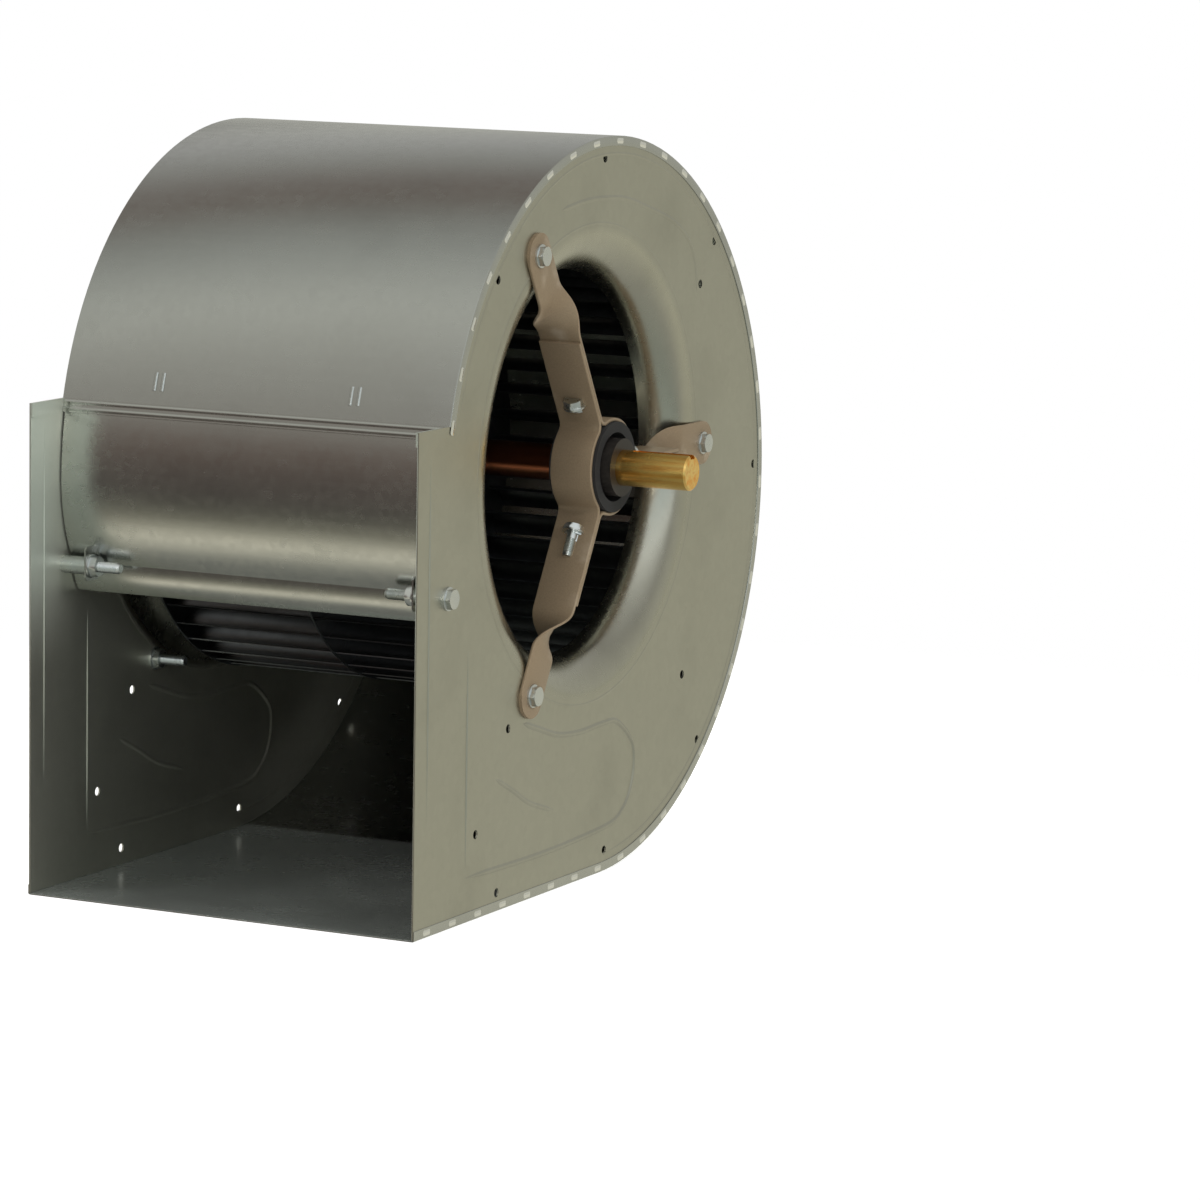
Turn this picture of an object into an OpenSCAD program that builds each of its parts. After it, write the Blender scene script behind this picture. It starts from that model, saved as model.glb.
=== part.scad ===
// Belt-driven double-inlet centrifugal blower with a forward-curved wheel.
// +X runs along the shaft to the drive side, the outlet faces -Y and +Z is up.
// The origin is on the floor of the housing, straight below the middle of the shaft.

/* [Housing] */
// Width over the outer faces of the two side panels
housing_w = 304; // [270:1:380]
// Height of the outlet
outlet_h = 343; // [325:1:420]
// Distance from the shaft axis forward to the outlet plane
outlet_y = 253; // [235:1:330]
// Height of the shaft axis above the floor
axis_h = 296; // [285:1:345]
// Outside radius of the scroll over the front and top
scroll_front_r = 239; // [228:1:290]
// Growth of the scroll radius from the top to the rear
scroll_growth = 24; // [10:1:45]
// Distance of the scroll's centres behind the shaft axis
scroll_offset = 22; // [15:1:35]
// Thickness of the scroll wrapper sheet
wrapper_t = 1.0; // [0.8:0.1:1.6]
// Thickness of the side panel sheet
panel_t = 1.2; // [0.8:0.1:2]
// Width of the wrapper hem folded over each side panel
hem_w = 7; // [4:0.5:12]
// Height of the stiffening hem at the outlet edges
stiffener_h = 9.5; // [6:0.5:14]

/* [Inlets] */
// Radius of the inlet throat
throat_r = 136.6; // [115:0.1:140]
// Drawing radius of the bell mouth
bell_r = 30.4; // [20:0.1:31]

/* [Wheel] */
// Outside radius over the wheel's end rings
wheel_r = 165; // [150:1:167]
// Number of blades on each side of the centre disc
blade_count = 48; // [36:1:60]
// Radius to which each blade is rolled
blade_bend_r = 16; // [14:0.5:20]
// Thickness of a blade
blade_t = 0.8; // [0.5:0.1:1.2]
// Arc over which a blade leans inward from its middle
blade_root_arc = 40; // [30:1:50]
// Arc over which a blade leans outward from its middle
blade_tip_arc = 65; // [50:1:75]
// Thickness of the centre disc and the end rings
disc_t = 1.6; // [1:0.1:2.5]
// Axial gap between the bell mouth and the end ring
inlet_gap = 0.6; // [0.5:0.1:6]
// Radial width of the end rings
end_ring_w = 24; // [22:0.1:26.5]
// Radius of the hub barrel
hub_r = 22; // [19:0.5:28]
// Length of the hub barrel
hub_len = 46; // [40:1:60]
// Radius of the hub flange
hub_flange_r = 45; // [42:1:55]
// Thickness of the hub flange
hub_flange_t = 5; // [4:0.5:8]

/* [Shaft and bearings] */
// Radius of the drive shaft
shaft_r = 12.7; // [11.9:0.1:13.5]
// Distance the shaft stands out past the drive side panel
drive_stub = 79; // [50:1:110]
// Distance the shaft stands out past the far side panel
far_stub = 38; // [32:1:90]
// Width of the keyway in the drive end
key_w = 6.35; // [5:0.05:8]
// Depth of the keyway
key_depth = 3.2; // [2:0.1:4]
// Outside radius of the bearing
bearing_r = 26; // [25.5:0.1:28]
// Width of the bearing outer ring
bearing_w = 15; // [14:0.5:18]
// Radius of a bearing ball
ball_r = 3.9; // [3.5:0.1:4]
// Number of balls in a bearing
ball_count = 9; // [7:1:10]
// Outside radius of the rubber isolator ring
isolator_r = 32; // [30.5:0.5:36]
// Width of the rubber isolator ring
isolator_w = 36; // [30:1:40]
// Outside radius of the locking collar
collar_r = 20.5; // [19.5:0.5:22]
// Width of the locking collar
collar_w = 12; // [10:1:16]

/* [Bearing supports] */
// Width of a support strap
strap_w = 32; // [26:1:34]
// Thickness of a support strap
strap_t = 2.5; // [2:0.1:3.5]
// Inside radius of the bend between the bearing and an arm
strap_bend_r = 6; // [4:0.5:9]
// Radius from the shaft axis to the foot bolts
foot_r = 176; // [174:1:185]
// Distance inside the inlet throat at which a support arm starts to twist
twist_lead = 26.6; // [18:0.2:40]
// Distance outside the inlet throat at which a support arm lies flat to the panel
twist_trail = 8.4; // [2:0.2:13]
// Radius from the shaft axis to the clamp bolts
clamp_r = 53; // [52:1:75]

/* [Cut-off] */
// Radius to which the lower part of the cut-off plate is rolled
cutoff_r = 120; // [100:1:160]
// Drop of the cut-off plate below the centre of the scroll's front arc
cutoff_drop = 59; // [50:1:75]
// Radius to which the cut-off lip is rolled, below the fold at the end of the plate
lip_r = 34; // [24:1:50]
// Height of the cut-off lip
lip_drop = 21; // [15:0.5:23]
// Distance from the panel to the tab at the end of the cut-off plate
tab_inset = 21; // [15:1:26]

/* [Fasteners] */
// Radius of the support bolts
bolt_r = 4; // [3:0.5:5]
// Radius of the cut-off bolts
cutoff_bolt_r = 4; // [3:0.5:5]
// Radius of the screw holes in the side panels
panel_hole_r = 3.25; // [2.5:0.25:4]
// Clearance round a bolt in its hole
bolt_gap = 0.3; // [0.2:0.1:0.6]

/* [Hidden] */
$fn = 96;

slack = 0.15;                 // room between two sheets that nest
fit = 0.02;                   // room round the shaft in what is clamped to it
rolling_gap = 0.3;            // room round the balls
lap = 0.5;                    // overlap of two shapes of one piece
lap_angle = 2;                // overlap of two bends of one piece, in degrees
lap_step = 0.05;              // how far a bend's faces lie inside those it runs into

// Shape of the bolts and nuts, as multiples of the bolt radius.
hex_across = 1.9;             // corner radius of the hexagon
head_h = 1.3;                 // height of the head
nut_h = 1.6;                  // height of the nut
flange_r = 2.1;               // radius of the flange under a head or a nut
flange_h = 0.3;               // thickness of that flange
bolt_tip = 0.25;              // taper at the end of the bolt
thread_gap = 0.05;            // room between a bolt and its nut, in mm

panel_x = housing_w / 2;
panel_in = panel_x - panel_t;
scroll_rear_r = scroll_front_r + scroll_growth;
scroll_rear_z = scroll_rear_r;
scroll_front_z = scroll_rear_z + scroll_growth;

// Angles are measured about the shaft direction from +Y (rear) towards +Z (up).
front_angle = 180;
outlet_top_angle = front_angle - asin((outlet_h - scroll_front_z) / scroll_front_r);
wrapper_end_angle = front_angle
    - asin((outlet_h - stiffener_h - scroll_front_z) / scroll_front_r);

cutoff_top_r = scroll_front_r - wrapper_t - slack / 2;
cutoff_y = scroll_offset - cutoff_top_r + cutoff_r;
cutoff_end_angle = asin(cutoff_drop / cutoff_r);
cutoff_end_y = cutoff_y - cutoff_r * cos(cutoff_end_angle);
cutoff_end_z = scroll_front_z - cutoff_drop;
cutoff_w = panel_in - 1;
lip_end_angle = front_angle + asin(lip_drop / lip_r);
lip_y = cutoff_end_y + lip_r;
cutoff_bolt_z = cutoff_end_z - 1;
cutoff_bolt_clear = cutoff_r + cutoff_bolt_r * flange_r + 2 * slack;
cutoff_bolt_y = cutoff_y
    - sqrt(pow(cutoff_bolt_clear, 2) - pow(scroll_front_z - cutoff_bolt_z, 2));
cutoff_bolt_len = 47;
spacer_r = cutoff_bolt_r + 2.2;
tab_t = 1.2;
tab_x = panel_in - tab_inset;
tab_front_y = cutoff_bolt_y - 2 * cutoff_bolt_r;
tab_rear_y = cutoff_end_y - 1;
tab_above_bolt = 14;
tab_below_bolt = 10;

support_x = panel_x + strap_t / 2;
arm_angles = [0, 120, 240];
strap_outer_r = isolator_r + strap_t;
bend_v = strap_t + strap_bend_r;
bend_u = sqrt(pow(strap_outer_r + strap_bend_r, 2) - pow(bend_v, 2));
bend_angle = atan2(bend_v, bend_u);
twist_start_r = throat_r - twist_lead;
twist_end_r = throat_r + twist_trail;
plain_end_r = twist_start_r - 4;
foot_bolt_len = 29;
clamp_bolt_len = 18;

ball_pitch_r = (shaft_r + bearing_r) / 2 + 0.15;
race_r = ball_r + rolling_gap;
inner_land_r = ball_pitch_r - 2.7;
outer_land_r = ball_pitch_r + 2.8;
inner_ring_out = 14;
collar_start = 12;
collar_counterbore = 3;
neck_r = 15.6;
cage_t = 2.4;
cage_w = 12;
seal_t = 0.8;
seal_inset = 0.3;
seal_groove = 0.6;
seal_clear = 0.5;
isolator_lip_r = bearing_r - 1.6;
set_screw_r = 2.6;
set_screw_sunk = 1;
socket_depth = 2.5;
socket_r = set_screw_r * 0.55;

bell_rim_w = 2;
wheel_half = panel_x - bell_r - inlet_gap;
blade_outer_bend = blade_bend_r + blade_t;
blade_tip_r = wheel_r - 0.8;
blade_centre_r = sqrt(pow(blade_tip_r, 2) - pow(blade_outer_bend * sin(90 - blade_tip_arc), 2))
    - blade_outer_bend * cos(90 - blade_tip_arc);
blade_len = wheel_half - disc_t * 1.5;
end_ring_inner_r = wheel_r - end_ring_w;
disc_dish = 5;
disc_flat_r = 62;
disc_dish_r = disc_flat_r + 12;
disc_rise_r = disc_dish_r + 22;
disc_rim_r = disc_rise_r + 12;
disc_slope_shift = 0.6;
rivet_head_h = 2;
rivet_r = 2.5;
rivet_circle_r = hub_flange_r - 8;
rivet_count = 6;
shaft_chamfer = 1.2;
keyway_len = 45;

// Draws a shape given in (Y, Z) as a slab from x0 to x1.
module slab(x0, x1) {
    translate([x0, 0, 0]) rotate([90, 0, 90]) linear_extrude(x1 - x0) children();
}

// Part of a thin tube about an axis along X.
module arc_sheet(y, z, inner_r, t, from, to, x0, x1) {
    translate([x0, y, z]) rotate([90, 0, 90])
        rotate_extrude(angle = to - from, start = from)
            translate([inner_r, 0]) square([t, x1 - x0]);
}

// Turns a profile of (radius, x) about the shaft axis.
module turned(x = 0) {
    translate([x, 0, axis_h]) rotate([0, 90, 0]) rotate_extrude() children();
}

// Ring of rectangular section about the shaft axis.
module ring(inner_r, outer_r, x0, x1) {
    turned() translate([inner_r, x0]) square([outer_r - inner_r, x1 - x0]);
}

// Places children about the shaft axis, with +X outward from it and +Z along the shaft.
module about_shaft(angle, x = 0) {
    translate([x, 0, axis_h]) rotate([90, 0, 90]) rotate([0, 0, angle]) children();
}

module hexagon(r, h) {
    cylinder(r = r * hex_across, h = h, $fn = 6);
}

// Flanged hexagon bolt: the head's seat is at z = 0 and the shank points to +Z.
module hex_bolt(r, len) {
    union() {
        translate([0, 0, -r * head_h]) hexagon(r, r * head_h);
        translate([0, 0, -r * flange_h]) cylinder(r = r * flange_r, h = r * flange_h);
        translate([0, 0, -lap]) cylinder(r = r, h = len - r * bolt_tip + lap);
        translate([0, 0, len - r * bolt_tip])
            cylinder(r1 = r, r2 = r - r * bolt_tip, h = r * bolt_tip);
    }
}

module hex_nut(r) {
    difference() {
        union() {
            cylinder(r = r * flange_r, h = r * flange_h);
            hexagon(r, r * nut_h);
        }
        translate([0, 0, -lap]) cylinder(r = r + thread_gap, h = r * nut_h + 2 * lap);
    }
}

module mirrored_left() {
    mirror([1, 0, 0]) children();
}

// ---- Housing ----

// Area inside the scroll and the outlet duct, drawn in (Y, Z).
module scroll_area(inset) {
    intersection() {
        translate([scroll_offset, scroll_front_z]) circle(r = scroll_front_r - inset);
        translate([-scroll_front_r, scroll_front_z - lap])
            square([scroll_front_r + scroll_offset, scroll_front_r + lap]);
    }
    intersection() {
        translate([scroll_offset, scroll_rear_z]) circle(r = scroll_rear_r - inset);
        translate([scroll_offset, 0]) square([scroll_rear_r, 2 * scroll_rear_r]);
    }
    translate([-outlet_y, inset]) square([outlet_y + scroll_offset, outlet_h - inset]);
}

// Screw holes along the rim and across the side panel, as [Y, Z from the shaft axis].
rim_hole_inset = 15;
front_rim_hole_angles = [92];
rear_rim_hole_angles = [46, 1.5, -50, -88];
leg_hole_rear_y = 154;
leg_hole_front_y = -120;
leg_hole_z = -170.5;
field_holes = [[-144, 140.5], [172, 115.5]];
duct_holes_y = [-166, -134];
duct_holes_rise = [59, 13];

module panel_holes() {
    for (a = front_rim_hole_angles)
        translate([scroll_offset, scroll_front_z]) rotate(a)
            translate([scroll_front_r - rim_hole_inset, 0]) circle(r = panel_hole_r);
    for (a = rear_rim_hole_angles)
        translate([scroll_offset, scroll_rear_z]) rotate(a)
            translate([scroll_rear_r - rim_hole_inset, 0]) circle(r = panel_hole_r);
    for (y = [leg_hole_rear_y, leg_hole_front_y])
        translate([y, axis_h + leg_hole_z]) circle(r = panel_hole_r);
    for (p = field_holes)
        translate([p[0], axis_h + p[1]]) circle(r = panel_hole_r);
    for (i = [0, 1])
        translate([duct_holes_y[i], duct_holes_rise[i]]) circle(r = panel_hole_r);
    translate([cutoff_bolt_y, cutoff_bolt_z]) circle(r = cutoff_bolt_r + bolt_gap);
    for (a = arm_angles)
        translate([0, axis_h]) rotate(a) translate([foot_r, -strap_t / 2])
            circle(r = bolt_r + bolt_gap);
}

// Drive side panel: flat sheet with the bell mouth drawn in and the outlet edge folded double.
module side_panel() {
    color([0.57, 0.57, 0.50])
    union() {
        slab(panel_in, panel_x) difference() {
            scroll_area(wrapper_t + slack);
            translate([0, axis_h]) circle(r = throat_r + bell_r + bell_rim_w - lap);
            panel_holes();
        }
        turned(panel_x - bell_r) {
            intersection() {
                difference() {
                    translate([throat_r + bell_r, 0]) circle(r = bell_r);
                    translate([throat_r + bell_r, 0]) circle(r = bell_r - panel_t);
                }
                translate([throat_r - lap, 0]) square([bell_r + lap, bell_r + lap]);
            }
            translate([throat_r + bell_r, bell_r - panel_t]) square([bell_rim_w, panel_t]);
        }
        slab(panel_in - panel_t, panel_in)
            translate([-outlet_y, outlet_h - stiffener_h])
                square([outlet_y - scroll_front_r + scroll_offset - 2, stiffener_h]);
    }
}

module side_panel_right() { side_panel(); }
module side_panel_left() { mirrored_left() side_panel(); }

// The wrapper is one sheet; its edges fold over the side panels.
module wrapper_run(t_in, t_out, x0, x1) {
    arc_sheet(scroll_offset, scroll_front_z, scroll_front_r - t_in, t_in + t_out,
        90, outlet_top_angle, x0, x1);
    arc_sheet(scroll_offset, scroll_rear_z, scroll_rear_r - t_in, t_in + t_out, -90, 90, x0, x1);
    translate([x0, -outlet_y, 0]) cube([x1 - x0, outlet_y + scroll_offset, t_in]);
}

module scroll_wrapper() {
    edge_x = panel_x + wrapper_t;
    color([0.60, 0.59, 0.56])
    union() {
        wrapper_run(wrapper_t, 0, -edge_x, edge_x);
        wrapper_run(hem_w, 0, panel_x, edge_x);
        wrapper_run(hem_w, 0, -edge_x, -panel_x);
        arc_sheet(scroll_offset, scroll_front_z, scroll_front_r - wrapper_t, 2 * wrapper_t,
            outlet_top_angle - lap / 4, wrapper_end_angle, -panel_in, panel_in);
    }
}

// ---- Cut-off ----

module cutoff_tab() {
    slab(tab_x - tab_t, tab_x) difference() {
        translate([tab_front_y, cutoff_bolt_z - tab_below_bolt])
            square([tab_rear_y - tab_front_y, tab_below_bolt + tab_above_bolt]);
        translate([cutoff_bolt_y, cutoff_bolt_z]) circle(r = cutoff_bolt_r + bolt_gap);
        translate([cutoff_y, scroll_front_z]) circle(r = cutoff_r - wrapper_t / 2);
    }
}

module cutoff_plate() {
    color([0.55, 0.54, 0.50])
    union() {
        arc_sheet(scroll_offset, scroll_front_z, cutoff_top_r - wrapper_t, wrapper_t,
            outlet_top_angle, front_angle, -cutoff_w, cutoff_w);
        arc_sheet(cutoff_y, scroll_front_z, cutoff_r - wrapper_t, wrapper_t,
            front_angle - lap_angle / 4, front_angle + cutoff_end_angle, -cutoff_w, cutoff_w);
        arc_sheet(lip_y, cutoff_end_z, lip_r - wrapper_t, wrapper_t,
            front_angle - lap_angle / 3, lip_end_angle, -cutoff_w, cutoff_w);
        cutoff_tab();
        mirrored_left() cutoff_tab();
    }
}

module at_cutoff_bolt(x) {
    translate([x, cutoff_bolt_y, cutoff_bolt_z]) rotate([0, -90, 0]) children();
}

module cutoff_spacer() {
    at_cutoff_bolt(panel_in) difference() {
        cylinder(r = spacer_r, h = tab_inset);
        translate([0, 0, -lap]) cylinder(r = cutoff_bolt_r + bolt_gap, h = tab_inset + 2 * lap);
    }
}

module cutoff_spacers() {
    color("silver") {
        cutoff_spacer();
        mirrored_left() cutoff_spacer();
    }
}

module cutoff_bolts() {
    color("gainsboro") {
        at_cutoff_bolt(panel_x) hex_bolt(cutoff_bolt_r, cutoff_bolt_len);
        mirrored_left() at_cutoff_bolt(panel_x) hex_bolt(cutoff_bolt_r, cutoff_bolt_len);
    }
}

module cutoff_nuts() {
    color("gainsboro") {
        at_cutoff_bolt(tab_x - tab_t) hex_nut(cutoff_bolt_r);
        mirrored_left() at_cutoff_bolt(tab_x - tab_t) hex_nut(cutoff_bolt_r);
    }
}

// ---- Bearing supports ----

// Reverse bend that leads from the bearing into an arm, on the side given by the sign.
module strap_bend(side) {
    from = side > 0 ? 180 + bend_angle : 90;
    translate([bend_u, side * bend_v, -strap_w / 2])
        rotate_extrude(angle = 90 - bend_angle + 2 * lap_angle, start = from - lap_angle)
            translate([strap_bend_r + lap_step, 0]) square([strap_t - 2 * lap_step, strap_w]);
}

module clamp_hole() {
    translate([clamp_r, 0, 0]) rotate([90, 0, 0])
        cylinder(r = bolt_r + bolt_gap, h = 4 * strap_t, center = true);
}

// One strap: a plain arm, a third of the way round the bearing, then an arm with a twisted foot.
module strap(start_angle) {
    color([0.47, 0.40, 0.34])
    about_shaft(start_angle, support_x) difference() {
        union() {
            translate([bend_u, 0, -strap_w / 2]) cube([plain_end_r - bend_u, strap_t, strap_w]);
            strap_bend(1);
            translate([0, 0, -strap_w / 2])
                rotate_extrude(angle = 120 - 2 * bend_angle, start = bend_angle)
                    translate([isolator_r, 0]) square([strap_t, strap_w]);
            rotate([0, 0, 120]) {
                strap_bend(-1);
                translate([bend_u, -strap_t, -strap_w / 2])
                    cube([twist_start_r - bend_u, strap_t, strap_w]);
                translate([twist_start_r, -strap_t / 2, 0]) rotate([0, 90, 0])
                    linear_extrude(twist_end_r - twist_start_r, twist = -90, slices = 10, $fn = 16)
                        square([strap_w, strap_t], center = true);
                translate([twist_end_r, -strap_t / 2 - strap_w / 2, -strap_t / 2])
                    cube([foot_r - twist_end_r, strap_w, strap_t]);
                translate([foot_r, -strap_t / 2, 0])
                    cylinder(r = strap_w / 2, h = strap_t, center = true);
            }
        }
        clamp_hole();
        rotate([0, 0, 120]) {
            clamp_hole();
            translate([foot_r, -strap_t / 2, 0])
                cylinder(r = bolt_r + bolt_gap, h = 4 * strap_t, center = true);
        }
    }
}

module strap_front_right() { strap(arm_angles[1]); }
module strap_lower_right() { strap(arm_angles[2]); }
module strap_upper_right() { strap(arm_angles[0]); }
module strap_front_left() { mirrored_left() strap(arm_angles[1]); }
module strap_lower_left() { mirrored_left() strap(arm_angles[2]); }
module strap_upper_left() { mirrored_left() strap(arm_angles[0]); }

module at_foot(a, x) {
    about_shaft(a, x) translate([foot_r, -strap_t / 2, 0]) rotate([180, 0, 0]) children();
}

module foot_bolts() {
    color("gainsboro") for (a = arm_angles)
        at_foot(a, panel_x + strap_t) hex_bolt(bolt_r, foot_bolt_len);
}

module foot_nuts() {
    color("gainsboro") for (a = arm_angles) at_foot(a, panel_in) hex_nut(bolt_r);
}

module foot_bolts_right() { foot_bolts(); }
module foot_bolts_left() { mirrored_left() foot_bolts(); }
module foot_nuts_right() { foot_nuts(); }
module foot_nuts_left() { mirrored_left() foot_nuts(); }

module at_clamp(a, offset) {
    about_shaft(a, support_x) translate([clamp_r, offset, 0]) rotate([-90, 0, 0]) children();
}

module clamp_bolts() {
    color("gainsboro") for (a = arm_angles) at_clamp(a, -strap_t) hex_bolt(bolt_r, clamp_bolt_len);
}

module clamp_nuts() {
    color("gainsboro") for (a = arm_angles) at_clamp(a, strap_t) hex_nut(bolt_r);
}

module clamp_bolts_right() { clamp_bolts(); }
module clamp_bolts_left() { mirrored_left() clamp_bolts(); }
module clamp_nuts_right() { clamp_nuts(); }
module clamp_nuts_left() { mirrored_left() clamp_nuts(); }

// ---- Bearings ----

module isolator() {
    color([0.08, 0.08, 0.08])
    difference() {
        ring(isolator_lip_r, isolator_r, support_x - isolator_w / 2, support_x + isolator_w / 2);
        ring(isolator_lip_r - lap, bearing_r, support_x - bearing_w / 2, support_x + bearing_w / 2);
    }
}

module bearing_outer_ring() {
    color("lightsteelblue")
    turned(support_x) difference() {
        translate([outer_land_r, -bearing_w / 2]) square([bearing_r - outer_land_r, bearing_w]);
        translate([ball_pitch_r, 0]) circle(r = race_r);
        for (side = [-1, 1])
            translate([outer_land_r - lap, side > 0
                ? bearing_w / 2 - seal_inset - seal_t : -bearing_w / 2 + seal_inset])
                square([lap + seal_groove, seal_t]);
    }
}

module bearing_seals() {
    color("dimgray") for (side = [-1, 1]) {
        face = support_x + side * (bearing_w / 2 - seal_inset - seal_t / 2);
        ring(inner_land_r + seal_clear, outer_land_r + seal_groove,
            face - seal_t / 2, face + seal_t / 2);
    }
}

module bearing_inner_ring() {
    color("lightsteelblue")
    turned(support_x) difference() {
        union() {
            translate([shaft_r + fit, -bearing_w / 2])
                square([inner_land_r - shaft_r - fit, bearing_w]);
            translate([shaft_r + fit, 0]) square([neck_r - shaft_r - fit, inner_ring_out]);
        }
        translate([ball_pitch_r, 0]) circle(r = race_r);
    }
}

module bearing_balls() {
    color("white") for (i = [0 : ball_count - 1])
        about_shaft(i * 360 / ball_count, support_x) translate([ball_pitch_r, 0, 0])
            sphere(r = ball_r);
}

module bearing_cage() {
    color("goldenrod")
    difference() {
        ring(ball_pitch_r - cage_t / 2, ball_pitch_r + cage_t / 2,
            support_x - cage_w / 2, support_x + cage_w / 2);
        for (i = [0 : ball_count - 1])
            about_shaft(i * 360 / ball_count, support_x)
                translate([ball_pitch_r, 0, 0]) rotate([0, 90, 0])
                    cylinder(r = race_r, h = 2 * cage_t, center = true);
    }
}

module at_collar_screw() {
    about_shaft(90, support_x + collar_start + (collar_w + collar_counterbore) / 2)
        rotate([0, 90, 0]) children();
}

module locking_collar() {
    color([0.16, 0.14, 0.13])
    difference() {
        ring(shaft_r + fit, collar_r, support_x + collar_start, support_x + collar_start + collar_w);
        ring(0, neck_r + slack, support_x + collar_start - lap,
            support_x + collar_start + collar_counterbore);
        at_collar_screw() cylinder(r = set_screw_r + slack, h = 2 * collar_r);
    }
}

// Set screw bearing on the shaft, a little below the given outside radius.
module set_screw(outer_r) {
    top = outer_r - set_screw_sunk;
    difference() {
        translate([0, 0, shaft_r + fit]) cylinder(r = set_screw_r, h = top - shaft_r - fit);
        translate([0, 0, top - socket_depth])
            cylinder(r = socket_r, h = socket_depth + lap, $fn = 6);
    }
}

module collar_set_screws() {
    color("dimgray") {
        at_collar_screw() set_screw(collar_r);
        mirrored_left() at_collar_screw() set_screw(collar_r);
    }
}

module isolator_right() { isolator(); }
module isolator_left() { mirrored_left() isolator(); }
module bearing_outer_ring_right() { bearing_outer_ring(); }
module bearing_outer_ring_left() { mirrored_left() bearing_outer_ring(); }
module bearing_seals_right() { bearing_seals(); }
module bearing_seals_left() { mirrored_left() bearing_seals(); }
module bearing_inner_ring_right() { bearing_inner_ring(); }
module bearing_inner_ring_left() { mirrored_left() bearing_inner_ring(); }
module bearing_balls_right() { bearing_balls(); }
module bearing_balls_left() { mirrored_left() bearing_balls(); }
module bearing_cage_right() { bearing_cage(); }
module bearing_cage_left() { mirrored_left() bearing_cage(); }
module locking_collar_right() { locking_collar(); }
module locking_collar_left() { mirrored_left() locking_collar(); }

// ---- Rotor ----

module drive_shaft() {
    start = -panel_x - far_stub;
    end = panel_x + drive_stub;
    color([0.80, 0.55, 0.18])
    difference() {
        translate([0, 0, axis_h]) rotate([0, 90, 0]) union() {
            translate([0, 0, start]) cylinder(r1 = shaft_r - shaft_chamfer, r2 = shaft_r,
                h = shaft_chamfer);
            translate([0, 0, start + shaft_chamfer])
                cylinder(r = shaft_r, h = end - start - 2 * shaft_chamfer);
            translate([0, 0, end - shaft_chamfer]) cylinder(r1 = shaft_r,
                r2 = shaft_r - shaft_chamfer, h = shaft_chamfer);
        }
        translate([end - keyway_len, -key_w / 2, axis_h + shaft_r - key_depth])
            cube([keyway_len + lap, key_w, 2 * key_depth]);
    }
}

set_screw_angles = [90, 0];
hub_screw_x = hub_len / 2 - 7;

module at_hub_screw(a) {
    about_shaft(a, hub_screw_x) rotate([0, 90, 0]) children();
}

module at_rivets() {
    for (i = [0 : rivet_count - 1])
        about_shaft(i * 360 / rivet_count + 30, 0) translate([rivet_circle_r, 0, 0]) children();
}

module wheel_hub() {
    color([0.50, 0.50, 0.48])
    difference() {
        turned() union() {
            translate([shaft_r + fit, -hub_len / 2]) square([hub_r - shaft_r - fit, hub_len]);
            translate([shaft_r + 2, disc_t / 2]) square([hub_flange_r - shaft_r - 2, hub_flange_t]);
        }
        for (a = set_screw_angles) at_hub_screw(a) cylinder(r = set_screw_r + slack, h = 2 * hub_r);
        at_rivets() cylinder(r = rivet_r + slack, h = hub_len, center = true);
    }
}

module hub_set_screws() {
    color("dimgray") for (a = set_screw_angles) at_hub_screw(a) set_screw(hub_r);
}

module hub_rivets() {
    grip = disc_t / 2;
    color("silver") at_rivets() union() {
        translate([0, 0, -grip]) cylinder(r = rivet_r, h = disc_t + hub_flange_t);
        translate([0, 0, grip + hub_flange_t])
            cylinder(r1 = 1.9 * rivet_r, r2 = 1.2 * rivet_r, h = rivet_head_h);
        translate([0, 0, -grip - rivet_head_h])
            cylinder(r1 = 1.2 * rivet_r, r2 = 1.9 * rivet_r, h = rivet_head_h);
    }
}

// The disc is flat at the hub, steps aside in a shallow dish and is flat again at the blades.
module centre_disc() {
    color([0.52, 0.53, 0.52])
    difference() {
        turned() polygon([
            [hub_r + slack, -disc_t / 2],
            [disc_flat_r, -disc_t / 2],
            [disc_dish_r, -disc_t / 2 - disc_dish],
            [disc_rise_r, -disc_t / 2 - disc_dish],
            [disc_rim_r, -disc_t / 2],
            [wheel_r, -disc_t / 2],
            [wheel_r, disc_t / 2],
            [disc_rim_r - disc_slope_shift, disc_t / 2],
            [disc_rise_r - disc_slope_shift, disc_t / 2 - disc_dish],
            [disc_dish_r + disc_slope_shift, disc_t / 2 - disc_dish],
            [disc_flat_r + disc_slope_shift, disc_t / 2],
            [hub_r + slack, disc_t / 2]
        ]);
        at_rivets() cylinder(r = rivet_r + slack, h = 4 * disc_t, center = true);
    }
}

module blades() {
    arc = blade_root_arc + blade_tip_arc;
    color([0.42, 0.44, 0.45]) for (i = [0 : blade_count - 1])
        about_shaft(i * 360 / blade_count, disc_t / 2) translate([blade_centre_r, 0, 0])
            rotate_extrude(angle = arc, start = 90 - blade_tip_arc)
                translate([blade_bend_r, 0]) square([blade_t, blade_len]);
}

module blades_right() { blades(); }
module blades_left() { mirrored_left() blades(); }

module end_ring() {
    color([0.52, 0.53, 0.52]) ring(end_ring_inner_r, wheel_r, wheel_half - disc_t, wheel_half);
}

module end_ring_right() { end_ring(); }
module end_ring_left() { mirrored_left() end_ring(); }

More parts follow.
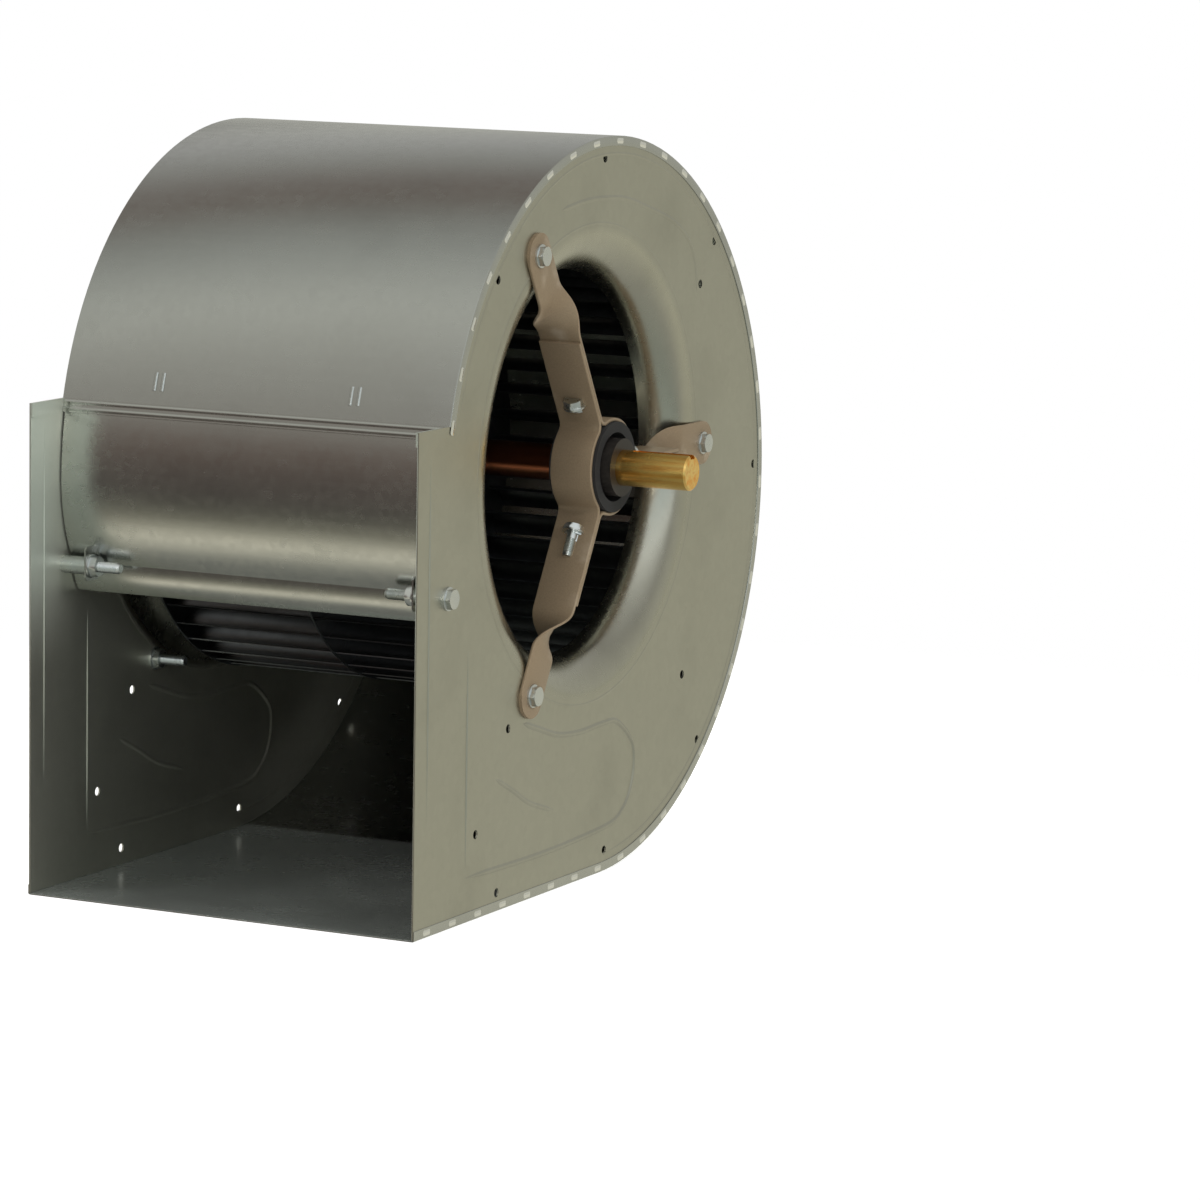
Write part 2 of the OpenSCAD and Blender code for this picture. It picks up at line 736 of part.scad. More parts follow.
side_panel_right();
side_panel_left();
scroll_wrapper();
cutoff_plate();
cutoff_spacers();
cutoff_bolts();
cutoff_nuts();
strap_front_right();
strap_upper_right();
strap_lower_right();
strap_front_left();
strap_upper_left();
strap_lower_left();
foot_bolts_right();
foot_bolts_left();
foot_nuts_right();
foot_nuts_left();
clamp_bolts_right();
clamp_bolts_left();
clamp_nuts_right();
clamp_nuts_left();
isolator_right();
isolator_left();
bearing_outer_ring_right();
bearing_outer_ring_left();
bearing_seals_right();
bearing_seals_left();
bearing_inner_ring_right();
bearing_inner_ring_left();
bearing_balls_right();
bearing_balls_left();
bearing_cage_right();
bearing_cage_left();
locking_collar_right();
locking_collar_left();
collar_set_screws();
drive_shaft();
wheel_hub();
hub_set_screws();
hub_rivets();
centre_disc();
blades_right();
blades_left();
end_ring_right();
end_ring_left();
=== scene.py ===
import math

import bmesh
import bpy
from mathutils import Matrix, Vector
from mathutils.geometry import tessellate_polygon


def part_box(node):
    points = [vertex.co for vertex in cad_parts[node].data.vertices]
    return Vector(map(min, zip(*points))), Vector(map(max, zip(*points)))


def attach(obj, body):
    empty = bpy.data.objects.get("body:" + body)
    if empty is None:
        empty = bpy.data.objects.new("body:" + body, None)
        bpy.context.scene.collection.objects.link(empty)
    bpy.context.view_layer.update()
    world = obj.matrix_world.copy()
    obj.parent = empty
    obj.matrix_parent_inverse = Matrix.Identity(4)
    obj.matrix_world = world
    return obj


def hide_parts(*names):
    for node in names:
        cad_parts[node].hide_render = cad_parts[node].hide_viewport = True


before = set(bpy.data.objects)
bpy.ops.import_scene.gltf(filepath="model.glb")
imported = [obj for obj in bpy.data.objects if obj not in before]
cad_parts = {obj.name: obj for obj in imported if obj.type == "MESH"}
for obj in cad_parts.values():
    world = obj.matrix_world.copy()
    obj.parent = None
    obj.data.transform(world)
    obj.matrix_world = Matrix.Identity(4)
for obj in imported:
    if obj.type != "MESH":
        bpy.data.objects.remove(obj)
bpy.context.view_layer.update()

# ---- Camera ----
# Stands on the drive side, a little above the shaft, and looks down the long way
# at the outlet and the near inlet through a long lens.
CAMERA_PLACE = Vector((1.8054, -3.2855, 0.7477))
AZIMUTH, ELEVATION, ROLL = (math.radians(a) for a in (26.59, 8.467, 0.996))
back = Vector((math.sin(AZIMUTH) * math.cos(ELEVATION), -math.cos(AZIMUTH) * math.cos(ELEVATION),
               math.sin(ELEVATION)))
level = Vector((0, 0, 1)).cross(back).normalized()
upright = back.cross(level)
right = level * math.cos(ROLL) + upright * math.sin(ROLL)
up = upright * math.cos(ROLL) - level * math.sin(ROLL)
camera = bpy.data.objects.new("camera", bpy.data.cameras.new("camera"))
bpy.context.collection.objects.link(camera)
camera.data.sensor_width = 36
camera.data.lens = 158.05
camera.data.clip_end = 50
turn = Matrix((right, up, back)).transposed().to_4x4()
camera.matrix_world = Matrix.Translation(CAMERA_PLACE) @ turn
bpy.context.scene.camera = camera


# ---- Studio ----
# A pale paper floor in a plain bright room. Soft panels light it: a large one on the left, a
# wide one overhead, a tall strip and a small one in front, and one high on the drive side.
class Socket:
    """An output of a node. Arithmetic on it adds Math nodes to its tree."""

    def __init__(self, tree, node, name=0):
        self.tree, self.node = tree, node
        self.out = node.outputs[name] if len(node.outputs) else None

    def __getitem__(self, name):
        return Socket(self.tree, self.node, name)

    def math(self, operation, *values):
        return self.tree.add("ShaderNodeMath", {"operation": operation},
                             dict(enumerate((self, *values))))

    def __add__(self, other):
        return self.math("ADD", other)

    def __mul__(self, other):
        return self.math("MULTIPLY", other)

    def __sub__(self, other):
        return self.math("SUBTRACT", other)

    def __rsub__(self, other):
        return (self * -1.0) + other

    def __truediv__(self, other):
        return self.math("DIVIDE", other)

    __radd__, __rmul__ = __add__, __mul__

    def between(self, low, high):
        """0 at low, 1 at high, and a smooth step from one to the other."""
        return self.tree.add("ShaderNodeMapRange", {"interpolation_type": "SMOOTHSTEP"},
                             {"Value": self, "From Min": low, "From Max": high})


class Tree:
    """A node tree of a material, a world or a modifier."""

    def __init__(self, tree):
        self.tree = tree

    def add(self, kind, settings=(), sockets=(), name=0):
        node = self.tree.nodes.new(kind)
        for key, value in dict(settings).items():
            if key == "stops":
                ramp = node.color_ramp.elements
                while len(ramp) < len(value):
                    ramp.new(1.0)
                for stop, (place, colour) in zip(ramp, value):
                    stop.position, stop.color = place, (*colour, 1)
            else:
                setattr(node, key, value)
        for key, value in dict(sockets).items():
            if isinstance(value, Socket):
                self.tree.links.new(value.out, node.inputs[key])
            else:
                node.inputs[key].default_value = value
        return Socket(self, node, name)

    def mix(self, factor, first, second):
        """One colour into another. Colours are three numbers or sockets."""
        def colour(c):
            return c if isinstance(c, Socket) else (*c, 1)
        return self.add("ShaderNodeMix", {"data_type": "RGBA"},
                        {0: factor, 6: colour(first), 7: colour(second)}, 2)

    def noise(self, place, scale, detail=3.0, roughness=0.5):
        """Cloudy noise from 0 to 1. Scale is in waves to the metre."""
        return self.add("ShaderNodeTexNoise", {},
                        {"Vector": place, "Scale": scale, "Detail": detail, "Roughness": roughness})

    def stretched(self, place, x, y, z):
        """A place with each of its axes multiplied. A small number draws noise out along that axis."""
        return self.add("ShaderNodeVectorMath", {"operation": "MULTIPLY"}, {0: place, 1: (x, y, z)})


def material(name):
    """A new material, its tree, its main shader and Object coordinates."""
    made = bpy.data.materials.new(name)
    made.use_nodes = True
    tree = Tree(made.node_tree)
    shader = made.node_tree.nodes["Principled BSDF"]
    place = tree.add("ShaderNodeTexCoord", name="Object")
    return made, tree, shader, place


def feed(tree, shader, **values):
    """Links or sets sockets of the main shader. A word's underscores stand for spaces."""
    for key, value in values.items():
        socket = shader.inputs[key.replace("_", " ")]
        if isinstance(value, Socket):
            tree.tree.links.new(value.out, socket)
        else:
            socket.default_value = (*value, 1) if isinstance(value, tuple) else value


def bump(tree, height, distance, strength=1.0):
    """The surface's direction where a height of 0 to 1 stands for the given distance in metres."""
    return tree.add("ShaderNodeBump", {},
                    {"Height": height, "Distance": distance, "Strength": strength})


def new_object(name, verts, faces, finish=None):
    """A mesh object in the scene, with one finish or none."""
    mesh = bpy.data.meshes.new(name)
    mesh.from_pydata(verts, [], faces)
    mesh.validate()
    made = bpy.data.objects.new(name, mesh)
    bpy.context.collection.objects.link(made)
    if finish:
        mesh.materials.append(finish)
    return made


bpy.context.scene.view_settings.view_transform = "Standard"
paper, tree, shader, place = material("paper_floor")
shade = tree.noise(place, 3.0)
reach = tree.add("ShaderNodeVectorMath", {"operation": "LENGTH"}, {0: place}, "Value")
feed(tree, shader, Base_Color=tree.mix(shade, (0.86, 0.86, 0.85), (0.90, 0.90, 0.89)),
     Roughness=0.85, Specular_IOR_Level=0.2, Alpha=(reach * -1.0).between(-1.1, -0.6),
     Emission_Color=(1, 1, 1), Emission_Strength=0.6)
floor = new_object("floor", [(-1.2, -1.2, -0.0005), (1.2, -1.2, -0.0005), (1.2, 1.2, -0.0005),
                             (-1.2, 1.2, -0.0005)], [(0, 1, 2, 3)], paper)
floor.visible_glossy = False

world = bpy.data.worlds.new("room")
bpy.context.scene.world = world
world.use_nodes = True
room = Tree(world.node_tree)
look = room.add("ShaderNodeTexCoord", name="Generated")
ways = room.add("ShaderNodeSeparateXYZ", {}, {0: look})
# Place round the shaft's direction: 0.5 is level in front, 0.75 overhead, 0 and 1 level behind.
around = ways["Z"].math("ARCTAN2", ways["Y"] * -1.0) / (2 * math.pi) + 0.5
tones = room.add("ShaderNodeValToRGB", {"stops": [
    (0.0, (0.46, 0.46, 0.39)), (0.035, (0.60, 0.59, 0.49)), (0.17, (0.42, 0.42, 0.38)),
    (0.29, (0.20, 0.20, 0.18)), (0.345, (0.22, 0.23, 0.21)), (0.38, (1.10, 1.05, 0.86)),
    (0.408, (0.28, 0.27, 0.21)), (0.444, (0.11, 0.105, 0.09)), (0.486, (0.10, 0.085, 0.078)),
    (0.522, (0.19, 0.14, 0.12)), (0.553, (0.40, 0.39, 0.36)), (0.600, (0.46, 0.455, 0.42)),
    (0.658, (0.64, 0.65, 0.60)), (0.717, (0.44, 0.455, 0.43)), (0.756, (0.32, 0.325, 0.305)),
    (0.792, (0.20, 0.165, 0.145)), (0.819, (0.24, 0.21, 0.195)), (0.853, (0.37, 0.37, 0.35)),
    (0.903, (0.50, 0.50, 0.49)), (1.0, (0.52, 0.52, 0.46))]}, {0: around})
drive_side = room.add("ShaderNodeValToRGB", {"stops": [
    (0.0, (0.46, 0.46, 0.39)), (0.035, (0.60, 0.59, 0.49)), (0.17, (0.42, 0.42, 0.38)),
    (0.33, (0.34, 0.37, 0.34)), (0.44, (0.42, 0.47, 0.44)), (0.50, (0.48, 0.54, 0.52)),
    (0.57, (0.74, 0.82, 0.86)), (0.66, (0.95, 0.98, 0.98)), (0.75, (0.55, 0.56, 0.54)),
    (0.85, (0.37, 0.37, 0.35)), (1.0, (0.52, 0.52, 0.46))]}, {0: around})
tones = room.mix(ways["X"].between(0.0, 0.45), tones, drive_side)
seen = room.add("ShaderNodeLightPath", name="Is Camera Ray")
backdrop = world.node_tree.nodes["Background"]
world.node_tree.links.new(room.mix(seen, tones, (1.0, 1.0, 1.0)).out, backdrop.inputs[0])


def soft_panel(name, place, aim, width, height, power, colour=(1, 1, 1), mirrored=False):
    """An area lamp of the given power in watts. Only a mirrored one shows in polished metal."""
    lamp = bpy.data.lights.new(name, "AREA")
    lamp.shape, lamp.size, lamp.size_y = "RECTANGLE", width, height
    lamp.energy, lamp.color = power, colour
    made = bpy.data.objects.new(name, lamp)
    bpy.context.collection.objects.link(made)
    made.location, made.visible_glossy = place, mirrored
    made.rotation_euler = (Vector(aim) - Vector(place)).to_track_quat("-Z", "Y").to_euler()


soft_panel("key", (-2.6, -2.6, 2.6), (0, 0, 0.25), 1.6, 1.6, 60)
soft_panel("window", (2.05, -3.85, 0.9), (0.1, 0, 0.3), 0.5, 1.7, 14, (1.0, 0.98, 0.92), True)
soft_panel("front", (1.4, -3.6, 2.2), (0, -0.2, 0.2), 0.7, 0.7, 40)
soft_panel("side", (2.6, -0.5, 1.6), (-0.15, -0.24, 0.3), 0.5, 0.5, 38)
soft_panel("top", (0.3, 0.5, 3.0), (0, 0, 0.3), 1.8, 1.4, 40)

# ---- Side panels ----
# Galvanised sheet, 1.2 mm thick, cut to the scroll, with the inlet bell drawn into it in a
# press. Round beads stiffen the flat, and small holes take screws for legs and rails.
MM = 0.001
axis_z = sum(c.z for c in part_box("end_ring_right")) / 2
panel_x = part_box("side_panel_right")[1].x
PANEL_T = 1.2 * MM
SCROLL_Y, FRONT_Z, FRONT_R = 22 * MM, 287 * MM, 239 * MM
REAR_Z, REAR_R = 263 * MM, 263 * MM
outlet_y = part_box("scroll_wrapper")[0].y
OUTLET_H = 343 * MM
THROAT_R, BELL_R = 136.6 * MM, 30.4 * MM
STIFFENER_H = 9.5 * MM


def turn_point(centre, radius, degrees):
    """A point of a circle in the plane across the shaft, from +Y (rear) towards +Z (up)."""
    a = math.radians(degrees)
    return centre[0] + radius * math.cos(a), centre[1] + radius * math.sin(a)


def scroll_path(inset, steps=72):
    """The housing's outline from the floor at the outlet, round the back and top, to the cut-off."""
    path = [(outlet_y, inset), (outlet_y * 0.5, inset)]
    path += [turn_point((SCROLL_Y, REAR_Z), REAR_R - inset, -90 + 180 * i / steps)
             for i in range(steps + 1)]
    end = 180 - math.degrees(math.asin((OUTLET_H - FRONT_Z) / FRONT_R))
    half = steps // 2
    path += [turn_point((SCROLL_Y, FRONT_Z), FRONT_R - inset, 90 + (end - 90) * (i + 1) / half)
             for i in range(half)]
    return path


def smooth_path(points, steps=8):
    """A soft curve through a few points."""
    ends = [points[0]] + list(points) + [points[-1]]
    path = []
    for a, b, c, d in zip(ends, ends[1:], ends[2:], ends[3:]):
        for i in range(steps):
            t = i / steps
            path.append(tuple(0.5 * (2 * q + (r - p) * t + (2 * p - 5 * q + 4 * r - s) * t * t
                                     + (3 * q - p - 3 * r + s) * t ** 3)
                              for p, q, r, s in zip(a, b, c, d)))
    return path + [tuple(points[-1])]


def arc(centre, radius, start, end, step=3):
    """Points of (y, z) along part of a circle, from one angle to another, about a step apart."""
    count = max(2, round(abs(end - start) / step))
    return [turn_point(centre, radius, start + (end - start) * i / count) for i in range(count + 1)]


def bead(verts, faces, path, width, height, level, out, closed=False):
    """A round pressed ridge along a path of (y, z), standing out from the sheet at x = level."""
    count, rows = 8, []
    for i, here in enumerate(path):
        before = path[i - 1] if i or closed else here
        after = path[(i + 1) % len(path)] if i + 1 < len(path) or closed else here
        along = Vector((after[0] - before[0], after[1] - before[1])).normalized()
        across = Vector((-along.y, along.x))
        taper = 1.0 if closed else min(1.0, 0.05 + min(i, len(path) - 1 - i) / 3)
        rows.append(len(verts))
        for k in range(count + 1):
            s = 2 * k / count - 1
            rise = height * taper * math.cos(s * math.pi / 2) ** 1.4 - 0.04 * MM
            p = Vector(here) + across * (s * width / 2 * taper)
            verts.append((level + out * rise, p.x, p.y))
    pairs = list(zip(rows, rows[1:])) + ([(rows[-1], rows[0])] if closed else [])
    for a, b in pairs:
        for k in range(count):
            quad = (a + k, a + k + 1, b + k + 1, b + k)
            faces.append(quad if out > 0 else quad[::-1])


def crisp(made, degrees=35):
    """Smooth shading with sharp folds."""
    mesh = made.data
    mesh.polygons.foreach_set("use_smooth", [True] * len(mesh.polygons))
    mesh.set_sharp_from_angle(angle=math.radians(degrees))
    return made


PANEL_INSET = 1.15 * MM
panel_outline = scroll_path(PANEL_INSET)
panel_outline += [(panel_outline[-1][0] - 1.5 * MM, OUTLET_H), (outlet_y, OUTLET_H)]
SCREW_HOLES = [(154, 125.5), (-120, 125.5), (-144, 436.5), (172, 411.5), (-166, 59), (-134, 13)]
SCREW_HOLE_R, RIM_HOLE_INSET = 3.25 * MM, 15 * MM
screw_holes = [(y * MM, z * MM) for y, z in SCREW_HOLES]
screw_holes += [turn_point((SCROLL_Y, FRONT_Z), FRONT_R - RIM_HOLE_INSET, 92)]
screw_holes += [turn_point((SCROLL_Y, REAR_Z), REAR_R - RIM_HOLE_INSET, a) for a in (46, 1.5, -50, -88)]
BELL_SEGMENTS = 160
bell_edge = arc((0, axis_z), THROAT_R + BELL_R, 0, 360, 360 / BELL_SEGMENTS)[:-1]
RIDGE_LOOP = [(-98, 126), (-72, 118), (-44, 110), (-10, 107), (24, 108), (48, 106), (73, 88), (77, 70),
              (71, 52), (59, 40), (40, 33), (-15, 30), (-80, 29), (-182, 31)]
RIDGE_SHORT = [(-138, 93), (-112, 81), (-86, 68), (-49, 57)]
RIDGE_TOP = [(-52, 478), (-20, 482), (7, 483), (45, 481), (80, 473), (125, 460), (152, 444), (164, 425),
             (167, 405)]
# Each ridge's path, width and height, and each upright line's place, top and bottom, in mm.
RIDGES = [(RIDGE_LOOP, 4.5, 1.1), (RIDGE_SHORT, 4, 0.8), (RIDGE_TOP, 4, 0.7)]
UPRIGHTS = [(-236, 330, 75), (-180, 192, 33)]
BELL_RIM_R, RIM_LINE_INSET = 170 * MM, 12.5 * MM


def side_panel(name, out, finish):
    """A pierced flat with the bell drawn inward, ridges on both faces and a fold at the outlet top."""
    loops = [panel_outline, bell_edge] + [arc(h, SCREW_HOLE_R, 0, 360, 30)[:-1] for h in screw_holes]
    flat = [[Vector((y, z, 0)) for y, z in loop] for loop in loops]
    triangles = tessellate_polygon(flat)
    points = [p for loop in loops for p in loop]
    size = len(points)
    verts = [(panel_x, y, z) for y, z in points] + [(panel_x - PANEL_T, y, z) for y, z in points]
    faces = []
    for a, b, c in triangles:
        (ay, az), (by, bz), (cy, cz) = points[a], points[b], points[c]
        front = (a, b, c) if (by - ay) * (cz - az) - (bz - az) * (cy - ay) > 0 else (a, c, b)
        faces += [front, tuple(i + size for i in reversed(front))]
    start = 0
    for number, loop in enumerate(loops):
        ring = range(start, start + len(loop))
        start += len(loop)
        if number == 1:
            bell_ring = list(ring)
            continue
        for a, b in zip(ring, list(ring[1:]) + [ring[0]]):
            faces.append((b, a, a + size, b + size))
    rings = [bell_ring]
    steps = 14
    for i in range(1, 2 * steps + 2):
        outer = i <= steps
        t = math.radians(90) * (i if outer else 2 * steps + 1 - i) / steps
        r = BELL_R if outer else BELL_R - PANEL_T
        if i == 2 * steps + 1:
            rings.append([a + size for a in bell_ring])
            break
        rings.append(list(range(len(verts), len(verts) + BELL_SEGMENTS)))
        for k in range(BELL_SEGMENTS):
            y, z = turn_point((0, axis_z), THROAT_R + BELL_R - r * math.sin(t), 360 * k / BELL_SEGMENTS)
            verts.append((panel_x - BELL_R + r * math.cos(t), y, z))
    for a, b in zip(rings, rings[1:]):
        for k in range(BELL_SEGMENTS):
            n = (k + 1) % BELL_SEGMENTS
            faces.append((a[k], b[k], b[n], a[n]))
    mouth = (0, axis_z)
    for level, way in ((panel_x, 1), (panel_x - PANEL_T, -1)):
        for ridge, width, height in RIDGES:
            path = smooth_path([(y * MM, z * MM) for y, z in ridge])
            bead(verts, faces, path, width * MM, height * MM, level, way)
        bead(verts, faces, arc(mouth, BELL_RIM_R, 0, 360)[:-1], 2.4 * MM, 0.3 * MM, level, way, True)
        bead(verts, faces, scroll_path(RIM_LINE_INSET)[2:], 2.5 * MM, 0.35 * MM, level, way)
        for y, top, bottom in UPRIGHTS:
            line = [(y * MM, (top + (bottom - top) * i / 10) * MM) for i in range(11)]
            bead(verts, faces, line, 1.8 * MM, 0.7 * MM, level, way)
    low = OUTLET_H - STIFFENER_H
    fold = [(panel_x - 2 * PANEL_T, outlet_y, low), (panel_x - PANEL_T, outlet_y, low),
            (panel_x - PANEL_T, outlet_y, OUTLET_H), (panel_x - 2 * PANEL_T, outlet_y, OUTLET_H)]
    fold += [(x, -FRONT_R + SCROLL_Y - 2 * MM, z) for x, _, z in fold]
    base = len(verts)
    verts += fold
    faces += [tuple(base + i for i in q) for q in
              ((0, 3, 2, 1), (4, 5, 6, 7), (0, 1, 5, 4), (1, 2, 6, 5), (2, 3, 7, 6), (3, 0, 4, 7))]
    if out < 0:
        verts = [(-x, y, z) for x, y, z in verts]
        faces = [f[::-1] for f in faces]
    return crisp(new_object(name, verts, faces, finish))


def galvanised(name, light, dark, rough, streak=(1, 1, 1), polished=0.0, painted_light_inside=""):
    """Hot dip zinc: crystals of slightly differing shade, a cloudy film and fine rolling marks.
    Inside the duct, on its sides or its floor, a dull pale green-grey film is painted light
    standing in for light reflected into it, and polished is how much smoother the metal is where
    it was drawn into the bell."""
    made, tree, shader, place = material(name)
    crystal, contrast = 5 * MM, 0.10
    bent = tree.add("ShaderNodeVectorMath", {"operation": "MULTIPLY_ADD"},
                    {0: tree.noise(place, 1 / crystal)["Color"], 1: (crystal * 0.5,) * 3, 2: place})
    cells = tree.add("ShaderNodeTexVoronoi", {}, {"Vector": bent, "Scale": 1 / crystal}, "Color")
    cell = tree.add("ShaderNodeSeparateColor", {}, {0: cells})
    cloud = tree.noise(place, 9.0, 4.0, 0.6)
    drawn = tree.noise(tree.stretched(place, *streak), 260.0, 2.0)
    grain = tree.noise(place, 1400.0, 2.0)
    stain = tree.noise(place, 14.0, 2.0, 0.5).between(0.50, 0.80)
    axis = tree.add("ShaderNodeVectorMath", {"operation": "MULTIPLY_ADD"},
                    {0: place, 1: (0, 1, 1), 2: (0, 0, -axis_z)})
    radius = tree.add("ShaderNodeVectorMath", {"operation": "LENGTH"}, {0: axis}, "Value")
    polish = (radius * -1.0).between(-BELL_RIM_R + MM, 8 * MM - BELL_RIM_R) * polished
    tone = cell * contrast + cloud * (0.8 - contrast) + drawn * 0.2
    film = tree.mix(stain * 0.3, tree.mix(tone, dark, light), tuple(c * 0.8 for c in dark))
    ways = tree.add("ShaderNodeSeparateXYZ", {}, {0: place})
    within = (ways["X"].math("ABSOLUTE") * -1.0).between(0.5 * MM - panel_x, 0.9 * MM - panel_x)
    # Painted light: a pale green-grey, non-metallic film on the inner faces of the side panels, strongest at
    # the top of the outlet edge, and on the duct's floor stands in for light and reflections reaching into
    # the duct, not for dust.
    painted_light = 0.0
    if painted_light_inside == "sides":
        mouth = (ways["Y"] * -1.0).between(190 * MM, 250 * MM) * ways["Z"].between(150 * MM, 240 * MM)
        flat = radius.between(THROAT_R + BELL_R, THROAT_R + BELL_R + MM)
        painted_light = within * flat * (mouth * 0.30 + 0.10)
    elif painted_light_inside == "floor":
        low, high = ways["Z"].between(0.4 * MM, 0.8 * MM), (ways["Z"] * -1.0).between(-2 * MM, -1.4 * MM)
        painted_light = within * low * high * (cloud * 0.2 + 0.15)
    uneven = (cell["Green"] - 0.5) * 0.05 + (cloud - 0.5) * 0.10 + (drawn - 0.5) * 0.05
    feed(tree, shader, Base_Color=tree.mix(painted_light, film, (0.36, 0.46, 0.42)), Metallic=1.0 - painted_light,
         Roughness=uneven + rough - polish,
         Normal=bump(tree, cell["Blue"] * 0.1 + drawn * 0.5 + grain * 0.4, 0.00006, 0.5))
    return made


# The panels' inner faces get a painted light film, brightest near the top of the outlet edge.
panel_zinc = galvanised("galvanised_panel", (0.56, 0.55, 0.47), (0.45, 0.44, 0.37), 0.40, (1, 1, 0.06),
                        polished=0.14, painted_light_inside="sides")
for side, out in (("right", 1), ("left", -1)):
    panel = side_panel("panel_" + side, out, panel_zinc)
    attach(panel, "housing")
    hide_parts("side_panel_" + side)

# ---- Scroll wrapper ----
# One long galvanised strip rolled round the panels. Its edges fold over them in a narrow hem
# that is stitched down by small lances, and its end is folded double above the outlet.
wrapper_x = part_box("scroll_wrapper")[1].x
HEM = 7 * MM
SHEET = 1.0 * MM


def sweep(path, profile, name, finish):
    """A closed outline of (x, depth) carried along a path of (y, z). Depth goes inward."""
    verts, faces, width = [], [], len(profile)
    for i, here in enumerate(path):
        before, after = path[max(i - 1, 0)], path[min(i + 1, len(path) - 1)]
        along = Vector((after[0] - before[0], after[1] - before[1])).normalized()
        inward = Vector((-along.y, along.x))
        for x, depth in profile:
            p = Vector(here) + inward * depth
            verts.append((x, p.x, p.y))
    for i in range(len(path) - 1):
        for k in range(width):
            n = (k + 1) % width
            faces.append((i * width + k, i * width + n, (i + 1) * width + n, (i + 1) * width + k))
    faces.append(tuple(reversed(range(width))))
    faces.append(tuple(range(len(verts) - width, len(verts))))
    return crisp(new_object(name, verts, faces, finish), 40)


def recalculated(made):
    """The same object with its doubles merged and its faces pointing out."""
    work = bmesh.new()
    work.from_mesh(made.data)
    bmesh.ops.remove_doubles(work, verts=work.verts, dist=1e-6)
    bmesh.ops.recalc_face_normals(work, faces=work.faces)
    work.to_mesh(made.data)
    work.free()
    return made


edge = wrapper_x - 0.4 * MM
half_hem = [(edge - 1.0 * MM, 0), (edge - 0.3 * MM, 0.3 * MM), (edge, 1.0 * MM), (edge, HEM - 0.2 * MM),
            (edge - 0.2 * MM, HEM), (panel_x + 0.05 * MM, HEM), (panel_x + 0.05 * MM, SHEET)]
hem_profile = half_hem + [(-x, d) for x, d in reversed(half_hem)]
# The wrapper's inner floor gets a painted light film.
wrapper_zinc = galvanised("galvanised_wrapper", (0.58, 0.59, 0.56), (0.48, 0.485, 0.46), 0.25, (0.05, 1, 1),
                          painted_light_inside="floor")
wrapper = recalculated(sweep(scroll_path(0), hem_profile, "wrapper", wrapper_zinc))
crisp(wrapper, 40)
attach(wrapper, "housing")
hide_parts("scroll_wrapper")

end_angle = 180 - math.degrees(math.asin((OUTLET_H - FRONT_Z) / FRONT_R))
low_angle = 180 - math.degrees(math.asin((OUTLET_H - STIFFENER_H - FRONT_Z) / FRONT_R))


def across(name, outline, half_width, finish, degrees=40):
    """A closed outline of (y, z) drawn out along the shaft direction."""
    size = len(outline)
    verts = [(x, y, z) for x in (-half_width, half_width) for y, z in outline]
    faces = [(k, (k + 1) % size, (k + 1) % size + size, k + size) for k in range(size)]
    faces += [tuple(reversed(range(size))), tuple(range(size, 2 * size))]
    made = recalculated(new_object(name, verts, faces, finish))
    return crisp(made, degrees)


def folded_edge():
    """Outline of the doubled edge, with two low rounds across its face."""
    outside, steps = [], 28
    for i in range(steps + 1):
        t = i / steps
        ridge = 0.3 * MM * max(0.0, math.cos((t * 2 % 1 - 0.5) * 2 * math.pi)) if 0.05 < t < 0.95 else 0
        outside.append(turn_point((SCROLL_Y, FRONT_Z), FRONT_R + 0.6 * MM + ridge,
                                  end_angle + (low_angle - end_angle) * t))
    inside = arc((SCROLL_Y, FRONT_Z), FRONT_R - SHEET * 0.9, low_angle, end_angle, 0.5)
    return outside + inside


doubled = across("wrapper_end_fold", folded_edge(), panel_x - PANEL_T - 0.1 * MM, wrapper_zinc)
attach(doubled, "housing")
LANCE_X, LANCE_FROM, LANCE_TO = 77, 161.1, 164.2
LANCE = [(-4.5, 0.3), (-4.1, -0.6), (-3.0, -1.1), (-1.9, -0.6), (-1.5, 0.2)]
for number, x in enumerate((-LANCE_X, LANCE_X)):
    humps = [((x + dx) * MM, depth * MM) for dx, depth in LANCE + [(-a, b) for a, b in reversed(LANCE)]]
    run = arc((SCROLL_Y, FRONT_Z), FRONT_R, LANCE_FROM, LANCE_TO, 0.5)
    lance = recalculated(sweep(run, humps, "wrapper_lance_%d" % number, wrapper_zinc))
    crisp(lance, 60)
    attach(lance, "housing")


def stitch_tree(finish):
    """Copies of a mark at even steps along a line of edges, each turned to run along it."""
    group = bpy.data.node_groups.new("stitches_along_hem", "GeometryNodeTree")
    face = group.interface
    face.new_socket("Geometry", in_out="OUTPUT", socket_type="NodeSocketGeometry")
    for title, kind in (("Line", "Object"), ("Mark", "Object"), ("Spacing", "Float")):
        face.new_socket(title, in_out="INPUT", socket_type="NodeSocket" + kind)
    nodes = Tree(group)
    given = nodes.add("NodeGroupInput")
    line = nodes.add("GeometryNodeObjectInfo", {}, {"Object": given["Line"]}, "Geometry")
    curve = nodes.add("GeometryNodeMeshToCurve", {}, {0: line})
    spots = nodes.add("GeometryNodeCurveToPoints", {"mode": "LENGTH"},
                      {"Curve": curve, "Length": given["Spacing"]})
    turn_to = nodes.add("FunctionNodeAlignEulerToVector", {"axis": "Y", "pivot_axis": "X"},
                        {"Vector": spots["Tangent"]})
    mark = nodes.add("GeometryNodeObjectInfo", {}, {"Object": given["Mark"]}, "Geometry")
    spread = nodes.add("GeometryNodeInstanceOnPoints", {},
                       {"Points": spots, "Instance": mark, "Rotation": turn_to})
    real = nodes.add("GeometryNodeRealizeInstances", {}, {0: spread})
    done = nodes.add("GeometryNodeSetMaterial", {}, {"Geometry": real, "Material": finish})
    nodes.add("NodeGroupOutput", {}, {0: done})
    return group


